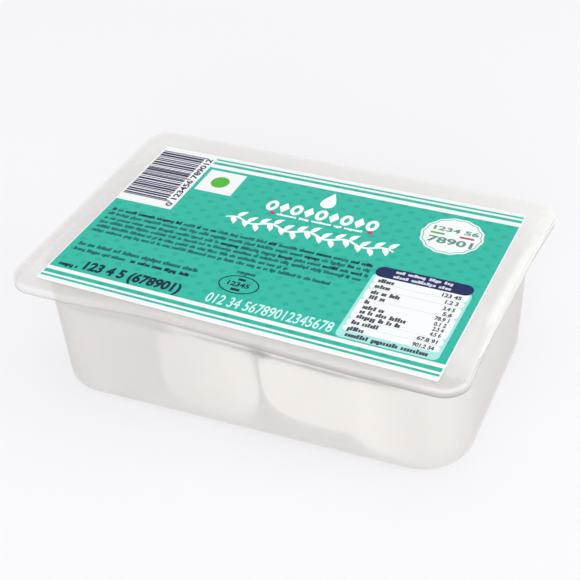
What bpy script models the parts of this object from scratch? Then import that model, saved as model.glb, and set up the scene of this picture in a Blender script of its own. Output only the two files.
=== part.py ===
"""A sealed tray of burrata: a thin moulded tray with a flange, a film sealed over it, and two cheeses inside.

The origin is below the middle of the flange, on the surface the tray stands on. X runs along the tray's
long side, Y from the front wall to the back wall, and Z up. All lengths are in metres.
"""

import math

import bmesh
import bpy

# The tray, outside sizes. The pulls and the turn put it out of true, as the sealed tray is
FLANGE_LENGTH = 0.166
FLANGE_WIDTH = 0.1096
FLANGE_CORNER = 0.009
RIM_LENGTH = 0.1588
RIM_WIDTH = 0.0974
RIM_CORNER = 0.0215
BASE_LENGTH = 0.1538
BASE_WIDTH = 0.0906
BASE_CORNER = 0.018
BASE_EDGE_RADIUS = 0.003
FLANGE_TOP = 0.0498
LIP_HEIGHT = 0.003
LIP_RADIUS = 0.0008
RIM_RADIUS = 0.0012
SKIN = 0.0008
FRONT_PULL = 0.0027
PULL_PLACE = -0.026
RIGHT_PULL = 0.0016
BASE_TURN = math.radians(2.0)

# The film lid, drawn thicker than the real film so that it is a solid plate
FILM_INSET = 0.0004
FILM_THICKNESS = 0.0003
TOUCH_GAP = 0.0003

# How finely the outlines are divided
CORNER_STEPS = 7
LONG_SIDE_STEPS = 8
SHORT_SIDE_STEPS = 4
FILLET_STEPS = 4
WALL_SHARES = (0.35, 0.7)
SMOOTH_ANGLE = math.radians(35)

# The cheeses. Each is a pouch and the smaller lobe of its tied neck: middle and half size of both lobes
CHEESE_GAP = 0.0006
SECTION_POWER = 3.6
SIDE_POWER = 9.0
TOP_POWER = 6.0
UNDER_POWER = 2.8
RINGS = 36
RING_POINTS = 40
END_MARGIN = 1.01
LEFT_POUCH = {"middle": (-0.0115, -0.0200, 0.0220), "half": (0.0192, 0.0315, 0.0206)}
LEFT_NECK = {"middle": (-0.0480, -0.0060, 0.0226), "half": (0.0235, 0.0240, 0.0150)}
RIGHT_POUCH = {"middle": (0.0565, -0.0200, 0.0222), "half": (0.0185, 0.0315, 0.0208)}
RIGHT_NECK = {"middle": (0.0286, -0.0200, 0.0256), "half": (0.0205, 0.0315, 0.0182)}

PLASTIC_COLOUR = (0.80, 0.80, 0.77, 1.0)
FILM_COLOUR = (0.06, 0.52, 0.41, 1.0)
CHEESE_COLOUR = (0.90, 0.88, 0.82, 1.0)
PLASTIC_ROUGHNESS = 0.3
FILM_ROUGHNESS = 0.25
CHEESE_ROUGHNESS = 0.45


def clear_scene():
    for obj in list(bpy.data.objects):
        bpy.data.objects.remove(obj, do_unlink=True)


def new_collection(name):
    collection = bpy.data.collections.new(name)
    bpy.context.scene.collection.children.link(collection)
    return collection


def principled(name, colour, roughness):
    material = bpy.data.materials.new(name)
    material.use_nodes = True
    shader = material.node_tree.nodes["Principled BSDF"]
    shader.inputs["Base Color"].default_value = colour
    shader.inputs["Roughness"].default_value = roughness
    shader.inputs["Metallic"].default_value = 0.0
    return material


def add_object(name, bm, material, collection):
    """Makes one object of the finished bmesh, shaded smooth up to its sharp edges."""
    mesh = bpy.data.meshes.new(name)
    bm.to_mesh(mesh)
    bm.free()
    mesh.materials.append(material)
    mesh.shade_smooth()
    mesh.set_sharp_from_angle(angle=SMOOTH_ANGLE)
    obj = bpy.data.objects.new(name, mesh)
    collection.objects.link(obj)
    return obj


def as_sealed(x, y, z):
    """Moves a point with the tray, out of true as the thin sheet is once it is sealed.

    The tight film pulls in the right side at mid-length and the front side a little left of it, and the base
    sits turned to the flange.
    """
    half_x = FLANGE_LENGTH / 2
    half_y = FLANGE_WIDTH / 2
    share = (z / FLANGE_TOP) ** 2
    to_corner = half_x - FLANGE_CORNER - math.copysign(1.0, x - PULL_PLACE) * PULL_PLACE
    along_front = max(0.0, 1.0 - ((x - PULL_PLACE) / to_corner) ** 2) ** 4
    along_right = max(0.0, 1.0 - (y / (half_y - FLANGE_CORNER)) ** 2)
    right_move = RIGHT_PULL * share * along_right * max(0.0, x / half_x)
    front_move = FRONT_PULL * share * along_front * max(0.0, -y / half_y)
    x = x - right_move
    y = y + front_move
    turn = BASE_TURN * (1 - min(1.0, z / (FLANGE_TOP - LIP_HEIGHT)))
    return x * math.cos(turn) - y * math.sin(turn), x * math.sin(turn) + y * math.cos(turn), z


def rounded_outline(half_x, half_y, radius, height):
    """The points of a rounded rectangle at a height, anticlockwise."""
    corners = ((1, 1), (-1, 1), (-1, -1), (1, -1))
    side_steps = (LONG_SIDE_STEPS, SHORT_SIDE_STEPS, LONG_SIDE_STEPS, SHORT_SIDE_STEPS)
    arcs = []
    for quarter, (side_x, side_y) in enumerate(corners):
        arc = []
        for step in range(CORNER_STEPS + 1):
            angle = math.pi / 2 * (quarter + step / CORNER_STEPS)
            x = side_x * (half_x - radius) + radius * math.cos(angle)
            y = side_y * (half_y - radius) + radius * math.sin(angle)
            arc.append((x, y))
        arcs.append(arc)
    points = []
    for quarter, arc in enumerate(arcs):
        points += arc
        start = arc[-1]
        end = arcs[(quarter + 1) % 4][0]
        for step in range(1, side_steps[quarter]):
            share = step / side_steps[quarter]
            points.append((start[0] + share * (end[0] - start[0]), start[1] + share * (end[1] - start[1])))
    return [as_sealed(x, y, height) for x, y in points]


def loft(bm, rings):
    """Joins each ring of points to the next with quads, and returns the rows of vertices."""
    rows = []
    for ring in rings:
        rows.append([bm.verts.new(point) for point in ring])
    for lower, upper in zip(rows, rows[1:]):
        count = len(lower)
        for index in range(count):
            following = (index + 1) % count
            bm.faces.new((lower[index], lower[following], upper[following], upper[index]))
    return rows


def tray_size_at(height):
    """Half length, half width and corner radius of the outer wall at a height above the base."""
    share = height / FLANGE_TOP
    half_x = (BASE_LENGTH + share * (RIM_LENGTH - BASE_LENGTH)) / 2
    half_y = (BASE_WIDTH + share * (RIM_WIDTH - BASE_WIDTH)) / 2
    radius = BASE_CORNER + share * (RIM_CORNER - BASE_CORNER)
    return half_x, half_y, radius


def tray_rings():
    """The tray's outer skin as rings, from the flat base up the wall, over the flange and down its lip."""
    rings = []

    def add_ring(half_x, half_y, radius, height):
        rings.append(rounded_outline(half_x, half_y, radius, height))

    for step in range(FILLET_STEPS + 1):
        angle = math.pi / 2 * step / FILLET_STEPS
        height = BASE_EDGE_RADIUS * (1 - math.cos(angle))
        inset = BASE_EDGE_RADIUS * (1 - math.sin(angle))
        half_x, half_y, radius = tray_size_at(height)
        add_ring(half_x - inset, half_y - inset, radius - inset, height)

    underside = FLANGE_TOP - SKIN
    rim_start = underside - RIM_RADIUS
    for share in WALL_SHARES:
        height = BASE_EDGE_RADIUS + share * (rim_start - BASE_EDGE_RADIUS)
        add_ring(*tray_size_at(height), height)

    wall_x, wall_y, wall_radius = tray_size_at(rim_start)
    for step in range(FILLET_STEPS + 1):
        angle = math.pi / 2 * step / FILLET_STEPS
        out = RIM_RADIUS * (1 - math.cos(angle))
        height = rim_start + RIM_RADIUS * math.sin(angle)
        add_ring(wall_x + out, wall_y + out, wall_radius + out, height)

    lip_x = FLANGE_LENGTH / 2 - SKIN
    lip_y = FLANGE_WIDTH / 2 - SKIN
    lip_corner = FLANGE_CORNER - SKIN
    for step in range(FILLET_STEPS + 1):
        angle = math.pi / 2 * step / FILLET_STEPS
        inset = LIP_RADIUS * (1 - math.sin(angle))
        height = underside - LIP_RADIUS * (1 - math.cos(angle))
        add_ring(lip_x - inset, lip_y - inset, lip_corner - inset, height)
    add_ring(lip_x, lip_y, lip_corner, FLANGE_TOP - LIP_HEIGHT)
    return rings


def make_tray(collection):
    """The tray: an open skin from base to lip, given the thickness of the moulded sheet."""
    bm = bmesh.new()
    rows = loft(bm, tray_rings())
    bm.faces.new(list(reversed(rows[0])))
    plastic = principled("tray_plastic", PLASTIC_COLOUR, PLASTIC_ROUGHNESS)
    tray = add_object("tray", bm, plastic, collection)
    skin = tray.modifiers.new("skin", "SOLIDIFY")
    skin.thickness = SKIN
    skin.offset = -1.0
    skin.use_even_offset = True
    return tray


def make_lid_film(collection):
    """The film sealed over the flange: a flat sheet with the flange's outline."""
    bm = bmesh.new()
    half_x = FLANGE_LENGTH / 2 - FILM_INSET
    half_y = FLANGE_WIDTH / 2 - FILM_INSET
    outline = rounded_outline(half_x, half_y, FLANGE_CORNER - FILM_INSET, FLANGE_TOP + TOUCH_GAP)
    bm.faces.new([bm.verts.new(point) for point in outline])
    printed = principled("lid_film", FILM_COLOUR, FILM_ROUGHNESS)
    film = add_object("lid_film", bm, printed, collection)
    sheet = film.modifiers.new("sheet", "SOLIDIFY")
    sheet.thickness = FILM_THICKNESS
    sheet.offset = 1.0
    return film


def lobe_reach(lobe, x, power):
    """How much of the lobe's full section is left at x: 1 at its middle, 0 past its ends."""
    share = (x - lobe["middle"][0]) / lobe["half"][0]
    return max(0.0, 1.0 - abs(share) ** power) ** (1 / power)


def section_at(pouch, neck, x):
    """Middle and half size of the cheese's section at x, across and up.

    They lie halfway between the furthest low and high edges of the lobes there. The lobes end squarely at the
    sides and the top, where they are pressed flat, and more roundly below.
    """
    near = [lobe for lobe in (pouch, neck) if abs(x - lobe["middle"][0]) < END_MARGIN * lobe["half"][0]]
    section = []
    for axis, low_power, high_power in ((1, SIDE_POWER, SIDE_POWER), (2, UNDER_POWER, TOP_POWER)):
        edges = [(lobe["middle"][axis], lobe["half"][axis], lobe) for lobe in near]
        low = min(middle - half * lobe_reach(lobe, x, low_power) for middle, half, lobe in edges)
        high = max(middle + half * lobe_reach(lobe, x, high_power) for middle, half, lobe in edges)
        section.append(((low + high) / 2, (high - low) / 2))
    return section


def inside_tray(x, y, z):
    """Moves a point that is past the tray's inner wall back to it, less the gap left for the fit."""
    half_x, half_y, radius = tray_size_at(max(z, 0.0))
    edge_inset = max(0.0, BASE_EDGE_RADIUS - z)
    edge_inset = BASE_EDGE_RADIUS - math.sqrt(max(0.0, BASE_EDGE_RADIUS**2 - edge_inset**2))
    room = SKIN + CHEESE_GAP + edge_inset
    radius = radius - room
    core_x = half_x - room - radius
    core_y = half_y - room - radius
    out_x = max(0.0, abs(x) - core_x)
    out_y = max(0.0, abs(y) - core_y)
    reach = math.hypot(out_x, out_y)
    if reach > radius:
        x = math.copysign(abs(x) - out_x * (1 - radius / reach), x)
        y = math.copysign(abs(y) - out_y * (1 - radius / reach), y)
    return as_sealed(x, y, z)


def make_cheese(name, pouch, neck, material, collection):
    """One burrata lying on its side: a sphere drawn out along X into a pouch and the lobe of its neck."""
    side = 1 if pouch["middle"][0] > neck["middle"][0] else -1
    pouch_end = pouch["middle"][0] + side * pouch["half"][0]
    neck_end = neck["middle"][0] - side * neck["half"][0]
    pouch_inner = pouch["middle"][0] - side * pouch["half"][0]
    neck_inner = neck["middle"][0] + side * neck["half"][0]
    crease = (pouch_inner + neck_inner) / 2
    bm = bmesh.new()
    bmesh.ops.create_uvsphere(bm, u_segments=RING_POINTS, v_segments=RINGS, radius=1.0)
    for vertex in bm.verts:
        angle = math.acos(max(-1.0, min(1.0, vertex.co.z)))
        share = angle / math.pi
        if share <= 0.5:
            x = pouch_end + (crease - pouch_end) * (1 - math.cos(2 * math.pi * share)) / 2
        else:
            x = crease + (neck_end - crease) * (1 - math.cos(2 * math.pi * (share - 0.5))) / 2
        turn = math.atan2(vertex.co.y, vertex.co.x)
        (middle_y, half_y), (middle_z, half_z) = section_at(pouch, neck, x)
        round_y = math.copysign(abs(math.cos(turn)) ** (2 / SECTION_POWER), math.cos(turn))
        round_z = math.copysign(abs(math.sin(turn)) ** (2 / SECTION_POWER), math.sin(turn))
        vertex.co = inside_tray(x, middle_y + half_y * round_y, middle_z + half_z * round_z)
    return add_object(name, bm, material, collection)


def main():
    clear_scene()
    bpy.context.scene.unit_settings.system = "METRIC"
    pack = new_collection("burrata_tray_pack")
    make_tray(pack)
    make_lid_film(pack)
    cheese = principled("cheese_skin", CHEESE_COLOUR, CHEESE_ROUGHNESS)
    make_cheese("burrata_left", LEFT_POUCH, LEFT_NECK, cheese, pack)
    make_cheese("burrata_right", RIGHT_POUCH, RIGHT_NECK, cheese, pack)


main()
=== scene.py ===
"""A sealed tray of burrata on a pale table: the cloudy tray, two cheeses in liquid, and the printed film."""

import math

import bmesh
import bpy
import numpy as np
from mathutils import Matrix, Vector


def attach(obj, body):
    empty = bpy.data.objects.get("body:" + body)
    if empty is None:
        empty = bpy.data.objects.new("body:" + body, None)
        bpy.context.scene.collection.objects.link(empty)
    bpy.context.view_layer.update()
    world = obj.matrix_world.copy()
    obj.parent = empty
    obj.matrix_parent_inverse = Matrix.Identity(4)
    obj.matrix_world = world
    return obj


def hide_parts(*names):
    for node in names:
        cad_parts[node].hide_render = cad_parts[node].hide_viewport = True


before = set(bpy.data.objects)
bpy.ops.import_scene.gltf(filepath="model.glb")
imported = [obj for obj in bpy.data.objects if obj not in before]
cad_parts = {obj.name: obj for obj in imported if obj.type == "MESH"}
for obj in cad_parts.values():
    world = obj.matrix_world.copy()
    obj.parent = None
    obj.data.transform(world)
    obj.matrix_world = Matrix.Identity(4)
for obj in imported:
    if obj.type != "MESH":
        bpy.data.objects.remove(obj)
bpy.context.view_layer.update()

# The tray is one sheet of cloudy plastic, drawn down into a mould while warm. A flat flange for the film runs
# round its mouth, and the flange's edge is turned down as a lip. The film's pull and the thin sheet leave it
# a little out of true.
FLANGE_LENGTH = 0.166
FLANGE_WIDTH = 0.1096
FLANGE_CORNER = 0.009
FLANGE_SIZE = np.array((FLANGE_LENGTH / 2, FLANGE_WIDTH / 2, FLANGE_CORNER))
RIM_LENGTH = 0.1588
RIM_WIDTH = 0.0974
RIM_CORNER = 0.0215
BASE_LENGTH = 0.1538
BASE_WIDTH = 0.0906
BASE_CORNER = 0.018
BASE_EDGE_RADIUS = 0.003
BASE_RINGS = (0.25, 0.5, 0.75, 0.95)
FLANGE_TOP = 0.0498
LIP_HEIGHT = 0.003
LIP_RADIUS = 0.0008
RIM_RADIUS = 0.0012
SHEET = 0.0008
FRONT_PULL = 0.0027
PULL_PLACE = -0.026
RIGHT_PULL = 0.0016
BASE_TURN = math.radians(2.0)
WALL_WAVE = 0.00012
LONG_WAVE = (230, 90)
CROSS_WAVE = (310, -140, 1.3)
CORNER_STEPS = 14
LONG_STEPS = 44
SHORT_STEPS = 28
FILLET_STEPS = 8
WALL_STEPS = 16
CLOUDY_COLOUR = (0.975, 0.968, 0.96, 1.0)
CLOUDY_SHARE = 0.27
CLOUDY_PASSING = (0.978, 0.973, 0.968, 1.0)
CLOUDY_GLOSS = 0.16
GRAZING_BLEND = 0.06
EDGE_START = 0.76
EDGE_SHADE = 0.7
# Painted shade: along the front, the lip and the band under the rim are coloured denser and greyer, where
# the flange shades them.
LIP_SHADE_COLOUR = (0.52, 0.50, 0.49, 1.0)
LIP_SHADE_SHARE = 0.5
LIP_SHADES = (0.0, 0.4, 0.8, 1.0)
LIP_PLACES = (-0.050, 0.030)
LIP_PLACE_SHADES = (0.3, 1.0)
LIP_FRONT = (0.042, 0.051)
BAND_ROWS = slice(-11, -8)
BAND_FRONT = (0.036, 0.046)
BAND_PLACES = (-0.075, -0.066, -0.040, 0.015, 0.030, 0.060, 0.075)
BAND_SHADES = (0.0, 0.42, 0.20, 0.12, 0.25, 0.38, 0.70)


def as_sealed(points):
    """Moves points with the tray, out of true as it is once sealed.

    The front side comes in by its pull, times the squared share of the height, times a bump: the fourth power
    of one minus the squared share of the way from the pull's place to the corner. The right side comes in
    likewise, most at its middle and with no fourth power. The base is turned to the flange by an angle that
    fades out up to the lip.
    """
    x, y, z = np.moveaxis(np.asarray(points, float), -1, 0)
    half_x = FLANGE_LENGTH / 2
    half_y = FLANGE_WIDTH / 2
    share = (z / FLANGE_TOP) ** 2
    to_corner = half_x - FLANGE_CORNER - np.sign(x - PULL_PLACE) * PULL_PLACE
    along_front = np.maximum(0.0, 1.0 - ((x - PULL_PLACE) / to_corner) ** 2) ** 4
    along_right = np.maximum(0.0, 1.0 - (y / (half_y - FLANGE_CORNER)) ** 2)
    moved_x = x - RIGHT_PULL * share * along_right * np.maximum(0.0, x / half_x)
    moved_y = y + FRONT_PULL * share * along_front * np.maximum(0.0, -y / half_y)
    turn = BASE_TURN * (1 - np.minimum(1.0, z / (FLANGE_TOP - LIP_HEIGHT)))
    turned_x = moved_x * np.cos(turn) - moved_y * np.sin(turn)
    turned_y = moved_x * np.sin(turn) + moved_y * np.cos(turn)
    return np.stack([turned_x, turned_y, z], -1)


def round_pattern(corner_steps, long_steps, short_steps):
    """One turn round a rounded rectangle as four arrays: how far out the corner's centre is along X and Y,
    from -1 to 1, and the cosine and sine of the direction from that centre."""
    parts = []
    corners = ((1, 1), (-1, 1), (-1, -1), (1, -1))
    for quarter, (side_x, side_y) in enumerate(corners):
        angle = math.pi / 2 * (quarter + np.linspace(0, 1, corner_steps + 1))
        ones = np.ones_like(angle)
        parts.append(np.stack([side_x * ones, side_y * ones, np.cos(angle), np.sin(angle)]))
        next_x, next_y = corners[(quarter + 1) % 4]
        steps = long_steps if next_x != side_x else short_steps
        share = np.arange(1, steps) / steps
        ones = np.ones_like(share)
        out_x = side_x + share * (next_x - side_x)
        out_y = side_y + share * (next_y - side_y)
        parts.append(np.stack([out_x, out_y, math.cos(angle[-1]) * ones, math.sin(angle[-1]) * ones]))
    return np.concatenate(parts, axis=1)


def rounded_rings(rows, pattern):
    """Rings of rounded rectangles. Each row is half length, half width, corner radius and height; each point
    is the corner's centre plus the radius along the direction."""
    half_x, half_y, radius, height = np.asarray(rows, float).T[:, :, None]
    side_x, side_y, cosine, sine = pattern[:, None, :]
    x = side_x * (half_x - radius) + radius * cosine
    y = side_y * (half_y - radius) + radius * sine
    return np.stack(np.broadcast_arrays(x, y, height), -1)


def ring_faces(rings, around, closed_start, closed_end):
    """Faces that join each ring to the next, with a fan to one middle point after the last where an end is
    closed. The middle points come after the rings' points, start first."""
    here = np.arange(rings * around).reshape(rings, around)
    beyond = np.roll(here, -1, axis=1)
    faces = np.stack([here[:-1], beyond[:-1], beyond[1:], here[1:]], -1).reshape(-1, 4).tolist()
    middle = rings * around
    if closed_start:
        fan = np.stack([np.full(around, middle), beyond[0], here[0]], -1)
        faces += fan.tolist()
        middle += 1
    if closed_end:
        fan = np.stack([np.full(around, middle), here[-1], beyond[-1]], -1)
        faces += fan.tolist()
    return faces


def add_piece(name, points, faces, material):
    """Puts points and faces into a new mesh object at the origin, shaded smooth."""
    mesh = bpy.data.meshes.new(name)
    mesh.from_pydata(np.asarray(points, float).tolist(), [], faces)
    mesh.materials.append(material)
    mesh.shade_smooth()
    mesh.update()
    piece = bpy.data.objects.new(name, mesh)
    bpy.context.scene.collection.objects.link(piece)
    return piece


def add_ring_piece(name, rings, closed_start, closed_end, material):
    """A piece lofted through rings of points, its ends closed with a fan to the end ring's middle."""
    points = rings.reshape(-1, 3)
    if closed_start:
        points = np.concatenate([points, rings[0].mean(0)[None]])
    if closed_end:
        points = np.concatenate([points, rings[-1].mean(0)[None]])
    faces = ring_faces(*rings.shape[:2], closed_start, closed_end)
    return add_piece(name, points, faces, material)


def tray_size_at(height):
    """Half length, half width and corner radius of the outer wall, straight from the base to the rim."""
    share = height / FLANGE_TOP
    half_x = (BASE_LENGTH + share * (RIM_LENGTH - BASE_LENGTH)) / 2
    half_y = (BASE_WIDTH + share * (RIM_WIDTH - BASE_WIDTH)) / 2
    radius = BASE_CORNER + share * (RIM_CORNER - BASE_CORNER)
    return np.stack([half_x, half_y, radius])


def tray_profile():
    """The sheet's outer skin from the base's middle out: flat base, edge, sloping wall, rim, flange and lip.
    The edge, the rim and the lip are quarter circles."""
    rows = []
    flat = tray_size_at(0.0) - BASE_EDGE_RADIUS
    for share in BASE_RINGS:
        rows.append((*(share * flat), 0.0))
    quarter = np.linspace(0, math.pi / 2, FILLET_STEPS + 1)
    for angle in quarter:
        height = BASE_EDGE_RADIUS * (1 - math.cos(angle))
        inset = BASE_EDGE_RADIUS * (1 - math.sin(angle))
        rows.append((*(tray_size_at(height) - inset), height))
    underside = FLANGE_TOP - SHEET
    rim_start = underside - RIM_RADIUS
    for height in np.linspace(BASE_EDGE_RADIUS, rim_start, WALL_STEPS + 1)[1:-1]:
        rows.append((*tray_size_at(height), height))
    at_rim = tray_size_at(rim_start)
    for angle in quarter:
        out = RIM_RADIUS * (1 - math.cos(angle))
        rows.append((*(at_rim + out), rim_start + RIM_RADIUS * math.sin(angle)))
    at_lip = FLANGE_SIZE - SHEET
    for angle in quarter:
        inset = LIP_RADIUS * (1 - math.sin(angle))
        rows.append((*(at_lip - inset), underside - LIP_RADIUS * (1 - math.cos(angle))))
    rows.append((*at_lip, FLANGE_TOP - LIP_HEIGHT))
    return rows


def wavy_wall(rings):
    """Draws the wall in by up to the wave height. The wave is a half and two quarter sines, one along X and
    one along Y, each slanting up the wall, and it fades out at the base and the lip as a squared sine."""
    x, y, z = np.moveaxis(rings, -1, 0)
    up = np.clip(z / (FLANGE_TOP - LIP_HEIGHT), 0, 1)
    fade = np.sin(math.pi * up) ** 2 * (z < FLANGE_TOP - LIP_HEIGHT)
    long_wave = np.sin(LONG_WAVE[0] * x + LONG_WAVE[1] * z)
    cross_wave = np.sin(CROSS_WAVE[0] * y + CROSS_WAVE[1] * z + CROSS_WAVE[2])
    wave = 0.5 + 0.25 * long_wave + 0.25 * cross_wave
    share = 1 - WALL_WAVE * wave * fade / np.maximum(np.hypot(x, y), 0.01)
    return np.stack([x * share, y * share, z], -1)


def add_node(tree, kind, **values):
    """A new shader node of a kind, with values on the inputs of those names."""
    node = tree.nodes.new(f"ShaderNode{kind}")
    for name, value in values.items():
        node.inputs[name.replace("_", " ")].default_value = value
    return node


def add_math(tree, operation):
    """A math node of an operation."""
    node = add_node(tree, "Math")
    node.operation = operation
    return node


def add_colour_mix(tree, first, second):
    """A mix node between two colours: its share is input 0 and its colour output 2."""
    node = add_node(tree, "Mix")
    node.data_type = "RGBA"
    node.inputs[6].default_value = first
    node.inputs[7].default_value = second
    return node


def add_links(tree, *links):
    """Joins each pair of an output and an input."""
    for output, target in links:
        tree.links.new(output, target)


def cloudy_material(name, colour, cloudy, gloss, passing, attribute=None, colour_at=None, cloudy_at=None):
    """Milky plastic, film or liquid: the cloudy share of the light is spread, half of it back and half on,
    and the rest goes straight through. The surface mirrors a little, more at a grazing angle. With an
    attribute, the greater of the attribute and the edge shade moves the cloudy share and the colour to their
    second values. The edge shade rises from nothing as the sheet turns edge on, where the way through it is
    long."""
    material = bpy.data.materials.new(name)
    material.use_nodes = True
    tree = material.node_tree
    tree.nodes.clear()
    clear = add_node(tree, "BsdfTransparent", Color=passing)
    front = add_node(tree, "BsdfDiffuse", Color=colour)
    back = add_node(tree, "BsdfTranslucent", Color=colour)
    spread = add_node(tree, "MixShader", Fac=0.5)
    body = add_node(tree, "MixShader", Fac=cloudy)
    grazing = add_node(tree, "LayerWeight", Blend=GRAZING_BLEND)
    mirror = add_node(tree, "BsdfGlossy", Roughness=gloss)
    shine = add_node(tree, "MixShader")
    output = add_node(tree, "OutputMaterial")
    add_links(
        tree,
        (front.outputs[0], spread.inputs[1]),
        (back.outputs[0], spread.inputs[2]),
        (clear.outputs[0], body.inputs[1]),
        (spread.outputs[0], body.inputs[2]),
        (grazing.outputs["Facing"], shine.inputs["Fac"]),
        (body.outputs[0], shine.inputs[1]),
        (mirror.outputs[0], shine.inputs[2]),
        (shine.outputs[0], output.inputs["Surface"]),
    )
    if attribute:
        piece_share = add_node(tree, "Attribute")
        piece_share.attribute_name = attribute
        edge = add_node(tree, "LayerWeight", Blend=0.5)
        thick = add_node(tree, "MapRange", From_Min=EDGE_START, To_Max=EDGE_SHADE)
        share = add_math(tree, "MAXIMUM")
        amount = add_node(tree, "MapRange", To_Min=cloudy, To_Max=cloudy_at)
        tone = add_colour_mix(tree, colour, colour_at)
        add_links(
            tree,
            (edge.outputs["Facing"], thick.inputs["Value"]),
            (piece_share.outputs["Fac"], share.inputs[0]),
            (thick.outputs[0], share.inputs[1]),
            (share.outputs[0], amount.inputs["Value"]),
            (amount.outputs[0], body.inputs["Fac"]),
            (share.outputs[0], tone.inputs[0]),
            (tone.outputs[2], front.inputs["Color"]),
            (tone.outputs[2], back.inputs["Color"]),
        )
    return material


def add_shares(piece, name, rings, closed_ends):
    """Puts a share from 0 to 1 on each point of a ring piece, with the end ring's mean at each middle
    point."""
    ends = [ring.mean() for ring, closed in zip((rings[0], rings[-1]), closed_ends) if closed]
    values = np.concatenate([rings.reshape(-1), ends])
    piece.data.attributes.new(name, "FLOAT", "POINT").data.foreach_set("value", values)


pattern = round_pattern(CORNER_STEPS, LONG_STEPS, SHORT_STEPS)
skin = as_sealed(wavy_wall(rounded_rings(tray_profile(), pattern)))
cloudy_plastic = cloudy_material(
    "cloudy_plastic", CLOUDY_COLOUR, CLOUDY_SHARE, CLOUDY_GLOSS, CLOUDY_PASSING, "lip", LIP_SHADE_COLOUR, LIP_SHADE_SHARE
)
tray = add_ring_piece("tray_sheet", skin, True, False, cloudy_plastic)
# Painted shade on the tray: along the front, the lip's rows and the band under the rim take shares of the
# lip's shade colour, most at the lip's bottom and towards the right.
lip_shade_shares = np.zeros(skin.shape[:2])
lip_rows = len(LIP_SHADES)
lip = skin[-lip_rows:]
along_lip = np.interp(lip[..., 0], LIP_PLACES, LIP_PLACE_SHADES) ** np.arange(lip_rows, 0, -1)[:, None]
lip_at_front = np.interp(-lip[..., 1], LIP_FRONT, (0.0, 1.0))
lip_shade_shares[-lip_rows:] = along_lip * lip_at_front * np.array(LIP_SHADES)[:, None]
band = skin[BAND_ROWS]
band_at_front = np.interp(-band[..., 1], BAND_FRONT, (0.0, 1.0))
lip_shade_shares[BAND_ROWS] = band_at_front * np.interp(band[..., 0], BAND_PLACES, BAND_SHADES)
add_shares(tray, "lip", lip_shade_shares, (True, False))
wall = tray.modifiers.new("sheet", "SOLIDIFY")
wall.thickness = SHEET
wall.offset = -1.0
wall.use_even_offset = True
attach(tray, "root")
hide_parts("tray")

# The two cheeses are pouches of stretched curd, each drawn together at one end into the smaller lobe of its
# knot. They lie on their sides and lean against the walls, wet and smooth.
CHEESE_GAP = 0.0006
SECTION_POWER = 3.6
SIDE_POWER = 9.0
TOP_POWER = 6.0
UNDER_POWER = 2.8
END_MARGIN = 1.01
CHEESE_RINGS = 150
CHEESE_AROUND = 128
CHEESE_COLOUR = (0.93, 0.922, 0.907, 1.0)
CHEESE_ROUGHNESS = 0.4
CHEESE_GLOW = 0.25
CHEESE_GLOW_DEPTHS = (0.004, 0.003, 0.002)
# The grey that the curd's colour goes to deep in the whey: the liquid's haze together with painted shade.
HAZE_AND_SHADE_COLOUR = (0.735, 0.725, 0.71, 1.0)
VEIL_DEPTH = 0.0040
VEIL_PLACES = (-0.034, -0.018, -0.004, 0.010, 0.0425, 0.0455, 0.054, 0.066)
VEIL_STARTS = (1.0, 0.84, 0.50, 0.26, 0.29, 0.04, 0.36, 1.0)
SUNK_HEIGHTS = (0.004, 0.016)
SUNK_SHARES = (0.8, 0.0)
SUNK_PLACES = (0.004, 0.012)
SURFACE_FADE = 0.0020
LIQUID_LEVEL = 0.0378
LEFT_POUCH = {"middle": (-0.0115, -0.0200, 0.0220), "half": (0.0192, 0.0315, 0.0206)}
LEFT_NECK = {"middle": (-0.0480, -0.0060, 0.0226), "half": (0.0235, 0.0240, 0.0150)}
RIGHT_POUCH = {"middle": (0.0565, -0.0200, 0.0222), "half": (0.0185, 0.0315, 0.0208)}
RIGHT_NECK = {"middle": (0.0286, -0.0200, 0.0256), "half": (0.0205, 0.0315, 0.0182)}


def lobe_reach(lobe, x, power):
    """How much of the lobe's full section is left at x: one minus the power of the share of its half length,
    rooted by the same power."""
    share = np.abs(x - lobe["middle"][0]) / lobe["half"][0]
    return np.maximum(0.0, 1.0 - share**power) ** (1 / power)


def section_at(pouch, neck, x):
    """Middle and half size of the section at x, across and up, halfway between the furthest low and high
    edges of the lobes there. The lobes end squarely at the sides and the top, where they are pressed flat,
    and more roundly below."""
    section = []
    for axis, low_power, high_power in ((1, SIDE_POWER, SIDE_POWER), (2, UNDER_POWER, TOP_POWER)):
        low = np.full(x.shape, np.inf)
        high = np.full(x.shape, -np.inf)
        for lobe in (pouch, neck):
            near = np.abs(x - lobe["middle"][0]) < END_MARGIN * lobe["half"][0]
            lowest = lobe["middle"][axis] - lobe["half"][axis] * lobe_reach(lobe, x, low_power)
            highest = lobe["middle"][axis] + lobe["half"][axis] * lobe_reach(lobe, x, high_power)
            low = np.where(near, np.minimum(low, lowest), low)
            high = np.where(near, np.maximum(high, highest), high)
        section.append(((low + high) / 2, (high - low) / 2))
    return section


def inside_tray(points):
    """Moves points that are past the tray's inner wall back to it, less the gap, towards the corner's
    centre."""
    x, y, z = np.moveaxis(points, -1, 0)
    half_x, half_y, radius = tray_size_at(np.maximum(z, 0.0))
    below = np.maximum(0.0, BASE_EDGE_RADIUS - z)
    edge_inset = BASE_EDGE_RADIUS - np.sqrt(np.maximum(0.0, BASE_EDGE_RADIUS**2 - below**2))
    room = SHEET + CHEESE_GAP + edge_inset
    radius = radius - room
    out_x = np.maximum(0.0, np.abs(x) - (half_x - room - radius))
    out_y = np.maximum(0.0, np.abs(y) - (half_y - room - radius))
    reach = np.hypot(out_x, out_y)
    back = np.where(reach > radius, 1 - radius / np.maximum(reach, 1e-9), 0.0)
    x = np.sign(x) * (np.abs(x) - out_x * back)
    y = np.sign(y) * (np.abs(y) - out_y * back)
    return as_sealed(np.stack([x, y, z], -1))


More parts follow.
